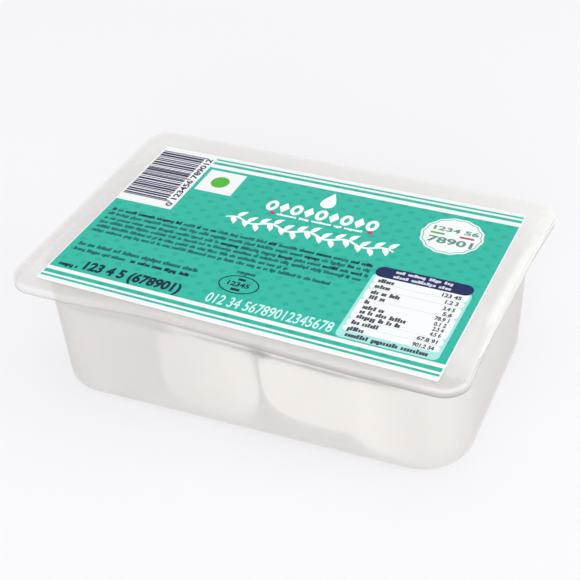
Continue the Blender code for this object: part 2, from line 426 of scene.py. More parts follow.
def wall_distance(points):
    """How far points are from the tray's inner wall: the corner's radius less the reach from its centre, or
    the lesser way to a straight side."""
    x, y, z = np.moveaxis(points, -1, 0)
    half_x, half_y, radius = tray_size_at(np.maximum(z, 0.0))
    radius = radius - SHEET
    past_x = np.abs(x) - (half_x - SHEET - radius)
    past_y = np.abs(y) - (half_y - SHEET - radius)
    reach = np.hypot(np.maximum(past_x, 0.0), np.maximum(past_y, 0.0))
    return np.maximum(0.0, radius - reach - np.minimum(0.0, np.maximum(past_x, past_y)))


def haze_and_shade_share(points):
    """How far the curd's colour goes to the grey of the whey: partly the cloudy liquid's haze and partly
    painted shade deep in the whey. It is one minus the clear share times the falling power of e by the way to
    the wall, fading out where the curd stands above the liquid. The clear share goes by the place along the
    tray, and is less low down at the left."""
    x, _, z = np.moveaxis(points, -1, 0)
    start = np.interp(x, VEIL_PLACES, VEIL_STARTS)
    low = np.interp(z, SUNK_HEIGHTS, SUNK_SHARES) * np.interp(x, SUNK_PLACES, (1.0, 0.0))
    start = start + (1.0 - start) * low
    sunk = np.clip((LIQUID_LEVEL - z) / SURFACE_FADE, 0.0, 1.0)
    return sunk * (1.0 - (1.0 - start) * np.exp(-wall_distance(points) / VEIL_DEPTH))


def cheese_rings(pouch, neck):
    """A sphere's rings drawn out along X into the pouch and its neck, with a ring at the crease between them.
    Each section is a rounded rectangle of the section power. Returns them before the tray presses on them."""
    side = 1 if pouch["middle"][0] > neck["middle"][0] else -1
    pouch_end = pouch["middle"][0] + side * pouch["half"][0]
    neck_end = neck["middle"][0] - side * neck["half"][0]
    pouch_inner = pouch["middle"][0] - side * pouch["half"][0]
    neck_inner = neck["middle"][0] + side * neck["half"][0]
    crease = (pouch_inner + neck_inner) / 2
    share = np.linspace(0, 1, CHEESE_RINGS + 2)[1:-1]
    to_crease = pouch_end + (crease - pouch_end) * (1 - np.cos(2 * math.pi * share)) / 2
    to_end = crease + (neck_end - crease) * (1 - np.cos(2 * math.pi * (share - 0.5))) / 2
    x = np.where(share <= 0.5, to_crease, to_end)
    (middle_y, half_y), (middle_z, half_z) = section_at(pouch, neck, x)
    turn = np.linspace(0, 2 * math.pi, CHEESE_AROUND, endpoint=False)
    round_y = np.sign(np.cos(turn)) * np.abs(np.cos(turn)) ** (2 / SECTION_POWER)
    round_z = np.sign(np.sin(turn)) * np.abs(np.sin(turn)) ** (2 / SECTION_POWER)
    y = middle_y[:, None] + half_y[:, None] * round_y
    z = middle_z[:, None] + half_z[:, None] * round_z
    grid = np.stack([np.broadcast_to(x[:, None], y.shape), y, z], -1)
    return grid[::-1] if side > 0 else grid


cheese_skin = bpy.data.materials.new("cheese_skin")
cheese_skin.use_nodes = True
curd_tree = cheese_skin.node_tree
curd = curd_tree.nodes["Principled BSDF"]
curd.inputs["Base Color"].default_value = CHEESE_COLOUR
curd.inputs["Roughness"].default_value = CHEESE_ROUGHNESS
curd.inputs["Subsurface Weight"].default_value = CHEESE_GLOW
curd.inputs["Subsurface Radius"].default_value = CHEESE_GLOW_DEPTHS
curd.inputs["Subsurface Scale"].default_value = 1.0
# Whey haze and painted shade: the curd's colour is mixed towards a grey by its depth in the whey.
haze_and_shade = add_node(curd_tree, "Attribute")
haze_and_shade.attribute_name = "haze_and_shade"
veiled = add_colour_mix(curd_tree, CHEESE_COLOUR, HAZE_AND_SHADE_COLOUR)
add_links(curd_tree, (haze_and_shade.outputs["Fac"], veiled.inputs[0]), (veiled.outputs[2], curd.inputs["Base Color"]))

for cheese_name, node, pouch, neck in (
    ("cheese_left", "burrata_left", LEFT_POUCH, LEFT_NECK),
    ("cheese_right", "burrata_right", RIGHT_POUCH, RIGHT_NECK),
):
    loose = cheese_rings(pouch, neck)
    cheese = add_ring_piece(cheese_name, inside_tray(loose), True, True, cheese_skin)
    add_shares(cheese, "haze_and_shade", haze_and_shade_share(loose), (True, True))
    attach(cheese, "root")
    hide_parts(node)

# The cheeses lie in a whitish salted whey that fills the tray to a little under its rim. It is one body that
# reaches just into the sheet, so that no gap shows, and its edge creeps up the wall.
LIQUID_INTO_WALL = 0.0003
LIQUID_BASE_RINGS = (0.3, 0.6, 0.9)
LIQUID_TOP_RINGS = (0.75, 0.5, 0.25)
LIQUID_FILLET_STEPS = 6
LIQUID_WALL_STEPS = 12
CREEP_HEIGHT = 0.0009
CREEP_WIDTH = 0.0016
CREEP_STEPS = 6
LIQUID_COLOUR = (0.98, 0.965, 0.95, 1.0)
LIQUID_SHARE = 0.38
LIQUID_PASSING = (0.985, 0.975, 0.97, 1.0)
WET_GLOSS = 0.05


def liquid_profile():
    """The liquid's skin from the base's middle out and up the wall, then in over its surface to the middle.
    The surface sinks from the wall inwards by the creep height, as one minus the share of the way,
    squared."""
    rows = []
    into = SHEET - LIQUID_INTO_WALL
    flat = tray_size_at(0.0) - BASE_EDGE_RADIUS
    for share in LIQUID_BASE_RINGS:
        rows.append((*(share * flat), into))
    inner_radius = BASE_EDGE_RADIUS - into
    for angle in np.linspace(0, math.pi / 2, LIQUID_FILLET_STEPS + 1):
        height = BASE_EDGE_RADIUS - inner_radius * math.cos(angle)
        inset = into + inner_radius * (1 - math.sin(angle))
        rows.append((*(tray_size_at(height) - inset), height))
    top = LIQUID_LEVEL + CREEP_HEIGHT
    for height in np.linspace(BASE_EDGE_RADIUS, top, LIQUID_WALL_STEPS + 1)[1:]:
        rows.append((*(tray_size_at(height) - into), height))
    at_top = tray_size_at(top)
    for share in np.linspace(0, 1, CREEP_STEPS + 1)[1:]:
        inset = into + LIQUID_INTO_WALL + CREEP_WIDTH * share
        rows.append((*(at_top - inset), LIQUID_LEVEL + CREEP_HEIGHT * (1 - share) ** 2))
    for share in LIQUID_TOP_RINGS:
        rows.append((*(share * (at_top - inset)), LIQUID_LEVEL))
    return rows


whey = cloudy_material("whey", LIQUID_COLOUR, LIQUID_SHARE, WET_GLOSS, LIQUID_PASSING)
liquid_rings = as_sealed(rounded_rings(liquid_profile(), pattern))
liquid = add_ring_piece("liquid", liquid_rings, True, True, whey)
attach(liquid, "root")

# Dark lines just under the lip: the wet line where the liquid's edge creeps up the wall, and painted shade
# under the lip and in the pocket between the cheeses above the liquid. Each is a long flat bead on the wall,
# pointed at both ends.
WET_AND_SHADE_COLOUR = (0.34, 0.33, 0.31, 1.0)
WET_SHARE = 0.42
WET_PASSING = (0.97, 0.965, 0.96, 1.0)
BEAD_SECTIONS = 60
BEAD_AROUND = 10
BEAD_DEPTH = 0.00012
BEAD_OFF_WALL = 1.1
BEAD_WAVER = 0.18
# Side, start and end along it, height at the start and at the end, half height.
BEADS = (
    ("front", -0.0170, 0.0430, 0.0384, 0.0376, 0.00028),
    ("front", 0.0070, 0.0140, 0.0380, 0.0380, 0.00140),
    ("front", 0.0230, 0.0435, 0.0380, 0.0376, 0.00060),
    ("front", -0.0330, -0.0215, 0.0373, 0.0371, 0.00022),
    ("front", 0.0430, 0.0570, 0.0381, 0.0388, 0.00020),
    ("back", -0.0560, 0.0560, 0.0379, 0.0379, 0.00018),
    ("left", -0.0270, 0.0270, 0.0379, 0.0379, 0.00018),
    ("right", -0.0270, 0.0270, 0.0379, 0.0379, 0.00018),
)


def bead_rings(side, start, end, start_height, end_height, half_height):
    """Sections along a straight side of the inner wall. Each is a flat ellipse, and its size goes as the root
    of the sine of the way along, with a faint waver."""
    share = np.linspace(0, 1, BEAD_SECTIONS + 2)[1:-1, None]
    turn = np.linspace(0, 2 * math.pi, BEAD_AROUND, endpoint=False)[None]
    size = np.sin(math.pi * share) ** 0.5 * (1 + BEAD_WAVER * np.sin(60 * share + 200 * start))
    along = start + (end - start) * share + 0 * turn
    height = start_height + (end_height - start_height) * share + half_height * size * np.sin(turn)
    half_x, half_y, _ = tray_size_at(height)
    inward = SHEET + BEAD_DEPTH * (BEAD_OFF_WALL - size * np.cos(turn))
    x, y = {
        "front": (along, inward - half_y),
        "back": (-along, half_y - inward),
        "left": (inward - half_x, -along),
        "right": (half_x - inward, along),
    }[side]
    return as_sealed(np.stack([x, y, height], -1))


# The beads' dark colour is painted shade as well as the wet line's own look.
wet_line_and_shade = cloudy_material("wet_line_and_shade", WET_AND_SHADE_COLOUR, WET_SHARE, WET_GLOSS, WET_PASSING)
for number, bead in enumerate(BEADS):
    wet_edge_and_shade = add_ring_piece(f"wet_edge_and_shade_{number + 1}", bead_rings(*bead), True, True, wet_line_and_shade)
    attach(wet_edge_and_shade, "root")

# The lid is a clear film, sealed hot onto the flange all round by a heated bar. It is drawn tight and flat,
# and the print lies on it. Along the right side the bar has whitened the seal, and a painted highlight
# brightens it more; painted light whitens the film towards the back and right, and painted shade greys the
# front flange.
FILM_INSET = 0.0004
FILM_BOTTOM = 0.0501
FILM_TOP = 0.0503
FILM_RINGS = (0.25, 0.5, 0.7, 0.8, 0.88, 0.90, 0.948, 0.954, 0.98, 1.0)
FILM_SHARP = math.radians(35)
FILM_COLOUR = (0.965, 0.968, 0.958, 1.0)
FILM_SHARE = 0.1
FILM_GLOSS = 0.12
FILM_PASSING = (0.985, 0.98, 0.98, 1.0)
# Painted light makes the film whiter towards the right and back, and painted shade makes it less so on the
# front flange, on top of its own milkiness.
MILKY_MIDDLE = 0.40
MILK_AND_LIGHT_TO_RIGHT = 0.10
MILK_AND_LIGHT_TO_BACK = 0.12
FRONT_PAINTED_SHADE = 0.22
FRONT_SHADE_SPAN = (0.0475, 0.0490)
# The whitened seal along the right side, with a painted highlight that fades towards the back.
SEAL_AND_HIGHLIGHT_COLOUR = (0.99, 0.995, 0.975, 1.0)
SEAL_AND_HIGHLIGHT_SHARE = 0.9
SEAL_INNER = (0.0783, 0.0787)
SEAL_FRONT = (-0.026, -0.014)
SEAL_BACK = (0.018, 0.032)


def film_rings():
    """The film's underside from the middle out, its edge, and its upper side back to the middle."""
    size = FLANGE_SIZE - FILM_INSET
    under = [(*(share * size), FILM_BOTTOM) for share in FILM_RINGS]
    over = [(*(share * size), FILM_TOP) for share in reversed(FILM_RINGS)]
    return as_sealed(rounded_rings(under + over, pattern))


def eased(value, span):
    """0 below the span and 1 above it, with three times the square less twice the cube of the way between."""
    way = np.clip((value - span[0]) / (span[1] - span[0]), 0.0, 1.0)
    return way * way * (3 - 2 * way)


def milk_and_light_share(points):
    """How whitish the film is: its own milkiness, made a little more so towards the back and right by painted
    light and least on the front flange by painted shade, and most along the right side, where the hot bar has
    whitened the seal and a painted highlight makes it brightest in the front half."""
    x, y, _ = np.moveaxis(points, -1, 0)
    share = MILKY_MIDDLE + MILK_AND_LIGHT_TO_RIGHT * x / (FLANGE_LENGTH / 2) + MILK_AND_LIGHT_TO_BACK * y / (FLANGE_WIDTH / 2)
    share = share - FRONT_PAINTED_SHADE * eased(-y, FRONT_SHADE_SPAN)
    # The seal strip along the right: the bar's whitening with a painted highlight, full from the front end to
    # the middle and half as strong at the back.
    seal = eased(x, SEAL_INNER) * eased(y, SEAL_FRONT) * (1 - 0.5 * eased(y, SEAL_BACK))
    return share + (1.0 - share) * seal


clear_film = cloudy_material(
    "clear_film", FILM_COLOUR, FILM_SHARE, FILM_GLOSS, FILM_PASSING, "milk_and_light", SEAL_AND_HIGHLIGHT_COLOUR, SEAL_AND_HIGHLIGHT_SHARE
)
sheet_rings = film_rings()
film = add_ring_piece("lid_sheet", sheet_rings, True, True, clear_film)
add_shares(film, "milk_and_light", milk_and_light_share(sheet_rings), (True, True))
film.data.set_sharp_from_angle(angle=FILM_SHARP)
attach(film, "root")
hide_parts("lid_film")

# Along the right side the hot bar has pressed the sealing layer out over the flange's edge, where it has set
# as a whitened skin on the lip, and the skin also carries a painted highlight where the lip catches the
# light.
# It is thickest in the middle and runs out to nothing towards both corners.
SKIN_START = -0.0370
SKIN_END = 0.0400
SKIN_GAP = 0.00002
SKIN_THICKNESS = 0.00008
SKIN_SECTIONS = 50
SKIN_ROWS = 12
SKIN_TOP_ANGLE = math.radians(60)
SKIN_TAPER = 0.8
SKIN_WAVER = 0.06
SKIN_WAVES = 44
SKIN_SHARP = math.radians(50)
SKIN_SHARE = 0.62


def skin_rings():
    """Sections from front to back, each a thin band round the lip's edge: an arc from the top angle down to
    level, then straight down. The share of the lip that it covers goes as the sine of the way along, to the
    taper's power, and wavers a little."""
    way = np.linspace(0, 1, SKIN_SECTIONS + 2)[1:-1, None]
    along = SKIN_START + (SKIN_END - SKIN_START) * way
    cover = np.sin(math.pi * way) ** SKIN_TAPER * (1 - SKIN_WAVER + SKIN_WAVER * np.sin(SKIN_WAVES * way))
    bend = LIP_RADIUS + SHEET
    arc = SKIN_TOP_ANGLE * bend
    straight = LIP_HEIGHT - bend
    path = cover * np.linspace(0, 1, SKIN_ROWS) * (arc + straight)
    angle = np.maximum(0.0, SKIN_TOP_ANGLE - path / bend)
    drop = np.maximum(0.0, path - arc)
    sides = []
    for reach in (bend + SKIN_GAP + SKIN_THICKNESS, bend + SKIN_GAP):
        x = FLANGE_LENGTH / 2 - bend + reach * np.cos(angle)
        z = FLANGE_TOP - bend + reach * np.sin(angle) - drop
        sides.append(np.stack([x, along + 0 * x, z], -1))
    return as_sealed(np.concatenate([sides[0], sides[1][:, ::-1]], axis=1))


whitened_and_highlight = cloudy_material("whitened_seal_and_highlight", SEAL_AND_HIGHLIGHT_COLOUR, SKIN_SHARE, FILM_GLOSS, FILM_PASSING)
seal_skin_and_highlight = add_ring_piece("seal_skin_and_highlight", skin_rings(), True, True, whitened_and_highlight)
seal_skin_and_highlight.data.set_sharp_from_angle(angle=SKIN_SHARP)
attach(seal_skin_and_highlight, "root")

# The print is ink on the film: a field of teal with white and teal lines along both long sides, on a white
# ground. Every shape is a thin plate, laid out from 0 to 1 along the label and from 0 to 1 from front to
# back. Boxes are given as start, end, front, back.
LABEL_FRONT_LEFT = (-0.0731, -0.0493)
LABEL_FRONT_RIGHT = (0.0741, -0.0515)
LABEL_BACK_RIGHT = (0.0733, 0.0454)
LABEL_BACK_LEFT = (-0.0727, 0.0436)
LABEL_LONG = 0.1454
LABEL_DEEP = 0.0949
STRETCH_START = 0.0034
STRETCH_END = 0.0040
STRETCH_MIDDLE = 0.0356
INK_LIFT = 0.000002
INK_STEP = 0.000015
INK_THICKNESS = 0.000012
INK_SPECULAR = 0.15
INK_ROUGHNESS = (0.30, 0.46)
RIPPLE_SCALE = 90.0
RIPPLE_DETAIL = 3.0
RIPPLE_STRENGTH = 0.12
RIPPLE_DEPTH = 0.0006
WHITE_INK = (0.81, 0.83, 0.83, 1.0)
TEAL_INK = (0.028, 0.443, 0.340, 1.0)
TEAL_SHADE = (0.020, 0.385, 0.292, 1.0)
GROUND_BOX = (-0.0035, 1.0042, 0, 1)
FIELD_LEFT = -0.0005
FIELD_RIGHT = 1.0005
FIELD_FRONT = 0.0865
FIELD_BACK = 0.9125
NOTCH_RIGHT = 0.163
NOTCH_FRONT = 0.575
FRONT_STRIPES = ((0.0235, 0.0345), (0.046, 0.066))
BACK_STRIPES = ((0.9375, 0.954), (0.9675, 0.978))
MOTIF_ALONG = 0.0040
MOTIF_DEEP = 0.0031
MOTIF_EDGE = (0.42, 0.62)


def on_label(u, v, height):
    """Points on the label: the two shares mixed between its four corners, at a height. The film is stretched
    unevenly, so the print lies a little inside both ends, and is drawn back towards its start in between, by
    the stretch times the share times one minus the share."""
    u = np.asarray(u, float)[..., None]
    u = u + STRETCH_START - (STRETCH_START + STRETCH_END) * u - STRETCH_MIDDLE * u * (1 - u)
    v = np.asarray(v, float)[..., None]
    front = np.array(LABEL_FRONT_LEFT) * (1 - u) + np.array(LABEL_FRONT_RIGHT) * u
    back = np.array(LABEL_BACK_LEFT) * (1 - u) + np.array(LABEL_BACK_RIGHT) * u
    flat = front * (1 - v) + back * v
    return np.concatenate([flat, np.full(flat.shape[:-1] + (1,), height)], -1)


def ink_heights(level):
    """The underside and the top of the ink at a level."""
    bottom = FILM_TOP + INK_LIFT + INK_STEP * level
    return bottom, bottom + INK_THICKNESS


def plate(outline, level):
    """One shape of ink: its outline in label shares as a thin closed plate, at its level above the film."""
    u, v = np.asarray(outline, float).T
    points = np.concatenate([on_label(u, v, height) for height in ink_heights(level)])
    here = np.arange(len(u))
    faces = [here[::-1].tolist(), (here + len(u)).tolist()]
    return points, faces + ring_faces(2, len(u), False, False)


def band_plate(outer, inner, level):
    """A closed band of ink between two outlines with as many points each."""
    bottom, top = ink_heights(level)
    loops = ((outer, bottom), (outer, top), (inner, top), (inner, bottom))
    points = np.concatenate([on_label(loop[:, 0], loop[:, 1], height) for loop, height in loops])
    faces = np.array(ring_faces(5, len(outer), False, False)) % len(points)
    return points, faces.tolist()


def box_outline(u0, u1, v0, v1):
    """The four corners of an upright box on the label."""
    return np.array([(u0, v0), (u1, v0), (u1, v1), (u0, v1)])


def round_box(u0, u1, v0, v1, radius):
    """An upright box with a quarter circle of the radius in metres at each corner."""
    side_x, side_y, cosine, sine = round_pattern(6, 1, 1)
    half_x = (u1 - u0) * LABEL_LONG / 2
    half_y = (v1 - v0) * LABEL_DEEP / 2
    along = side_x * (half_x - radius) + radius * cosine
    deep = side_y * (half_y - radius) + radius * sine
    return np.stack([(u0 + u1) / 2 + along / LABEL_LONG, (v0 + v1) / 2 + deep / LABEL_DEEP], -1)


def add_ink(name, shapes, colour, shade=None):
    """Joins plates of one colour into one piece. The ink takes the film's faint ripple, and its gloss varies
    a little. With a second colour, soft lozenges of it are scattered over the field, as the product of one
    sine along and one across."""
    points, faces, start = [], [], 0
    for shape_points, shape_faces in shapes:
        points.append(shape_points)
        faces += [[index + start for index in face] for face in shape_faces]
        start += len(shape_points)
    ink = bpy.data.materials.new(name)
    ink.use_nodes = True
    tree = ink.node_tree
    shader = tree.nodes["Principled BSDF"]
    shader.inputs["Base Color"].default_value = colour
    shader.inputs["Specular IOR Level"].default_value = INK_SPECULAR
    place = add_node(tree, "TexCoord")
    ripple = add_node(tree, "TexNoise", Scale=RIPPLE_SCALE, Detail=RIPPLE_DETAIL)
    gloss = add_node(tree, "MapRange", To_Min=INK_ROUGHNESS[0], To_Max=INK_ROUGHNESS[1])
    bump = add_node(tree, "Bump", Strength=RIPPLE_STRENGTH, Distance=RIPPLE_DEPTH)
    add_links(
        tree,
        (place.outputs["Object"], ripple.inputs["Vector"]),
        (ripple.outputs[0], gloss.inputs["Value"]),
        (gloss.outputs[0], shader.inputs["Roughness"]),
        (ripple.outputs[0], bump.inputs["Height"]),
        (bump.outputs[0], shader.inputs["Normal"]),
    )
    if shade:
        split = add_node(tree, "SeparateXYZ")
        product = add_math(tree, "MULTIPLY")
        for axis, length in enumerate((MOTIF_ALONG, MOTIF_DEEP)):
            turns = add_math(tree, "MULTIPLY")
            turns.inputs[1].default_value = math.pi / length
            wave = add_math(tree, "SINE")
            add_links(
                tree,
                (split.outputs[axis], turns.inputs[0]),
                (turns.outputs[0], wave.inputs[0]),
                (wave.outputs[0], product.inputs[axis]),
            )
        soft = add_node(tree, "MapRange", From_Min=MOTIF_EDGE[0], From_Max=MOTIF_EDGE[1])
        both = add_colour_mix(tree, colour, shade)
        add_links(
            tree,
            (place.outputs["Object"], split.inputs[0]),
            (product.outputs[0], soft.inputs["Value"]),
            (soft.outputs[0], both.inputs[0]),
            (both.outputs[2], shader.inputs["Base Color"]),
        )
    piece = add_piece(name, np.concatenate(points), faces, ink)
    piece.data.shade_flat()
    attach(piece, "root")


def stepped(outline):
    """The outline with points added along its long sides, so that the stretch bends it evenly."""
    ends = np.roll(outline, -1, axis=0)
    share = np.linspace(0, 1, 17)[:-1, None]
    return np.concatenate([start + share * (end - start) for start, end in zip(outline, ends)])


add_ink("print_ground", [plate(stepped(box_outline(*GROUND_BOX)), 0)], WHITE_INK)
teal_shapes = [box_outline(FIELD_LEFT, FIELD_RIGHT, *stripe) for stripe in FRONT_STRIPES]
teal_shapes += [box_outline(NOTCH_RIGHT, FIELD_RIGHT, *stripe) for stripe in BACK_STRIPES]
field = box_outline(FIELD_LEFT, FIELD_RIGHT, FIELD_FRONT, FIELD_BACK)[:3].tolist()
notch = [(NOTCH_RIGHT, FIELD_BACK), (NOTCH_RIGHT, NOTCH_FRONT), (FIELD_LEFT, NOTCH_FRONT)]
teal_shapes.append(np.array(field + notch))
add_ink("print_field", [plate(stepped(shape), 1) for shape in teal_shapes], TEAL_INK, TEAL_SHADE)

# The code panel and the small print are dark ink: a stack of bars of mixed widths with plain numbers beside
# it, and lines of fine print as rows of small blocks, grouped like words. A few words are bolder. An oval and
# a green dot on a white square stand beside them.
NAVY_INK = (0.020, 0.018, 0.085, 1.0)
FINE_INK = (0.006, 0.105, 0.125, 1.0)
BOLD_INK = (0.001, 0.020, 0.042, 1.0)
GREEN_INK = (0.075, 0.44, 0.035, 1.0)
LETTER_PITCH = 0.00080
WIDE_PITCH = 0.00098
FINE_TALL = 0.0018
LARGE_TALL = 0.0019
SHORT_LETTER = 0.72
LETTER_TAIL = 0.28
LETTER_KINDS = (0.62, 0.28, 0.10)
LETTER_WIDTHS = (0.76, 1.0)
BAR_LEVEL = 1
MARK_LEVEL = 2
BAR_STACK = {"start": 0.002, "end": 0.131, "guard_end": 0.143, "front": 0.622, "back": 0.968}
GUARD_BARS = [0, 2, 28, 29, 30, 31, -3, -1]
INK_SPREAD = 0.15
BAR_NUMBERS_BOX = (0.137, 0.1555, 0.594, 0.965)
# Start, end, baseline, height of a tall letter, letter pitch, share of bold words.
FINE_LINES = (
    (0.018, 0.735, 0.4935, FINE_TALL, LETTER_PITCH, 0.3),
    (0.018, 0.735, 0.463, FINE_TALL, LETTER_PITCH, 0.14),
    (0.018, 0.740, 0.431, FINE_TALL, LETTER_PITCH, 0.10),
    (0.018, 0.730, 0.4015, FINE_TALL, LETTER_PITCH, 0.0),
    (0.018, 0.555, 0.371, FINE_TALL, LETTER_PITCH, 0.0),
    (0.018, 0.670, 0.3415, FINE_TALL, LETTER_PITCH, 0.0),
    (0.018, 0.358, 0.241, 0.0021, WIDE_PITCH, 0.0),
    (0.018, 0.170, 0.2065, FINE_TALL, LETTER_PITCH, 0.0),
    (0.182, 0.350, 0.2065, LARGE_TALL, WIDE_PITCH, 1.0),
    (0.018, 0.078, 0.103, LARGE_TALL, WIDE_PITCH, 1.0),
    (0.444, 0.496, 0.292, FINE_TALL, 0.0010, 0.0),
)
BOLD_NUMBERS_BOX = (0.086, 0.352, 0.0895, 0.160)
OVAL_MIDDLE = (0.471, 0.23)
OVAL_OUTER = (0.0510, 0.0525)
OVAL_INNER = (0.0478, 0.0475)
OVAL_NUMBERS_BOX = (0.4425, 0.4985, 0.218, 0.243)
OVAL_DASHES = ((0.4615, 0.4805, 0.253, 0.266), (0.4595, 0.4825, 0.193, 0.206))
DOT_SQUARE = (0.1740, 0.2795, 0.7410, 0.8960)
DOT_MIDDLE = (0.2250, 0.8185)
DOT_HALF = (0.0250, 0.0395)
draw = np.random.default_rng(11)


def box_plates(boxes, level):
    """Many small boxes of ink at once."""
    u0, u1, v0, v1 = np.asarray(boxes, float).T
    u = np.stack([u0, u1, u1, u0], -1)
    v = np.stack([v0, v0, v1, v1], -1)
    points = np.concatenate([on_label(u, v, height) for height in ink_heights(level)], 1)
    sides = [[3, 2, 1, 0], [4, 5, 6, 7], [0, 1, 5, 4], [1, 2, 6, 5], [2, 3, 7, 6], [3, 0, 4, 7]]
    faces = np.array(sides)[None] + 8 * np.arange(len(u0))[:, None, None]
    return points.reshape(-1, 3), faces.reshape(-1, 4).tolist()


def fine_print(u0, u1, v, tall, pitch, bold=0.0):
    """One line of blocks on the baseline v, grouped like words of two to nine. Most are short, some are full
    height, and some reach below the line. Returns the plain and the bold words' boxes."""
    count = int((u1 - u0) * LABEL_LONG / pitch)
    ends = np.cumsum(draw.integers(3, 11, count))
    word = np.searchsorted(ends, np.arange(count), side="right")
    keep = ~np.isin(np.arange(count), ends - 1)
    keep[-1] = True
    kind = draw.choice(3, count, p=LETTER_KINDS)
    start = u0 + (np.arange(count) + 0.1) * pitch / LABEL_LONG
    width = draw.uniform(*LETTER_WIDTHS, count) * pitch / LABEL_LONG
    low = v - np.where(kind == 2, LETTER_TAIL, 0.0) * tall / LABEL_DEEP
    high = v + np.where(kind == 1, 1.0, SHORT_LETTER) * tall / LABEL_DEEP
    boxes = np.stack([start, start + width, low, high], -1)
    heavy = draw.random(word.max() + 1)[word] < bold
    return boxes[keep & ~heavy], boxes[keep & heavy]


def numbers(text, box, level, bold=0.0, turned=False):
    """Plain numbers as ink that fills a box. Turned, the row runs from front to back."""
    u0, u1, v0, v1 = box
    outlines = bpy.data.curves.new("numbers", "FONT")
    outlines.body = text
    outlines.offset = bold
    outlines.extrude = 0.1
    outlines.resolution_u = 3
    holder = bpy.data.objects.new("numbers", outlines)
    mesh = bpy.data.meshes.new_from_object(holder)
    shapes = bmesh.new()
    shapes.from_mesh(mesh)
    bmesh.ops.remove_doubles(shapes, verts=shapes.verts, dist=0.0001)
    shapes.to_mesh(mesh)
    shapes.free()
    flat = np.empty(len(mesh.vertices) * 3)
    mesh.vertices.foreach_get("co", flat)
    x, y, z = flat.reshape(-1, 3).T
    faces = [list(face.vertices) for face in mesh.polygons]
    bpy.data.objects.remove(holder)
    bpy.data.curves.remove(outlines)
    bpy.data.meshes.remove(mesh)
    along = (x - x.min()) / (x.max() - x.min())
    up = (y - y.min()) / (y.max() - y.min())
    if turned:
        u, v = u1 - (u1 - u0) * up, v0 + (v1 - v0) * along
    else:
        u, v = u0 + (u1 - u0) * along, v0 + (v1 - v0) * up
    bottom, top = ink_heights(level)
    points = on_label(u, v, bottom)
    points[:, 2] = np.where(z > 0, top, bottom)
    return points, faces


def code_bars():
    """A stack of bars and gaps of a few modules each, drawn at random, with a longer pair of bars at both
    ends and in the middle. The ink spreads past each bar's edges by a share of a module."""
    front, back = BAR_STACK["front"], BAR_STACK["back"]
    mixed = draw.integers(1, 4, (2, 25))
    mixed[:, 1::2] += draw.integers(0, 4, (2, 12)) // 2 * 2
    widths = np.concatenate([[1, 1, 1], mixed[0], [1, 1, 1, 1, 1], mixed[1], [1, 1, 1]])
    module = (back - front) / widths.sum()
    edges = front + module * np.concatenate([[0.0], np.cumsum(widths)])
    start = np.full(len(widths), BAR_STACK["start"])
    end = np.full(len(widths), BAR_STACK["end"])
    end[GUARD_BARS] = BAR_STACK["guard_end"]
    spread = INK_SPREAD * module
    return np.stack([start, end, edges[:-1] - spread, edges[1:] + spread], -1)[0::2]


bar_plates = box_plates(code_bars(), BAR_LEVEL)
bar_numbers = numbers("0 123456 789012", BAR_NUMBERS_BOX, BAR_LEVEL, bold=0.03, turned=True)
add_ink("print_code", [bar_plates, bar_numbers], NAVY_INK)
fine_lines = [fine_print(*line) for line in FINE_LINES]
plain_boxes = np.concatenate([plain for plain, _ in fine_lines])
bold_boxes = np.concatenate([bold for _, bold in fine_lines])
add_ink("print_fine", [box_plates(plain_boxes, MARK_LEVEL)], FINE_INK)


def oval(middle, half, count=72):
    """An ellipse round a middle."""
    turn = np.linspace(0, 2 * math.pi, count, endpoint=False)
    return np.stack([middle[0] + half[0] * np.cos(turn), middle[1] + half[1] * np.sin(turn)], -1)


bold_shapes = [
    box_plates(bold_boxes, MARK_LEVEL),
    numbers("123 4 5 (678901)", BOLD_NUMBERS_BOX, MARK_LEVEL, bold=0.045),
    band_plate(oval(OVAL_MIDDLE, OVAL_OUTER), oval(OVAL_MIDDLE, OVAL_INNER), MARK_LEVEL),
    numbers("12345", OVAL_NUMBERS_BOX, MARK_LEVEL, bold=0.03),
    box_plates(OVAL_DASHES, MARK_LEVEL),
]
add_ink("print_bold", bold_shapes, BOLD_INK)
add_ink("print_dot_ground", [plate(box_outline(*DOT_SQUARE), MARK_LEVEL)], WHITE_INK)
add_ink("print_dot", [plate(oval(DOT_MIDDLE, DOT_HALF), MARK_LEVEL + 1)], GREEN_INK)

# White ink on the teal is plain ornament: a drop above a row of rings and lozenges, a fine line between two
# red ticks, a long leafy sprig below them, and a row of plain numbers near the front.
ORNAMENT_WHITE = (0.88, 0.93, 0.92, 1.0)
PALE_INK = (0.62, 0.90, 0.86, 1.0)
DROP_MIDDLE = (0.531, 0.8435)
DROP_HALF = (0.0235, 0.054)
ROW_PLACES = 0.402 + 0.0337 * np.arange(9)
ROW_MIDDLE = 0.7385
RING_OUTER = (0.0155, 0.035)
RING_INNER = (0.0062, 0.017)
LOZENGE_HALF = (0.0135, 0.035)
ORNAMENT_LINE = (0.428, 0.662, 0.6835, 0.0013, WIDE_PITCH)
SPRIG_START = 0.312
SPRIG_END = 0.758
SPRIG_MIDDLE = 0.607
SPRIG_WAVE = 0.012
SPRIG_HALF_TURNS = 9
STEM_WIDTHS = (0.0007, 0.0011)
LEAF_PLACES = np.linspace(0.03, 0.97, 26)
LEAF_LEAN = math.radians(58)
LEAF_LONG = 0.0050
LEAF_WIDE = 0.0021
LEAF_BEND = 0.12
PALE_NUMBERS_BOX = (0.422, 0.736, 0.100, 0.156)


def drop(middle, half):
    """A milk drop: an ellipse whose width goes as the sine of half the turn, to the power one and a half, so
    that it comes to a tip at the back."""
    turn = np.linspace(0, 2 * math.pi, 64, endpoint=False)
    wide = 1.16 * np.sin(turn) * np.sin(turn / 2) ** 1.5
    return np.stack([middle[0] - half[0] * wide, middle[1] + half[1] * np.cos(turn)], -1)


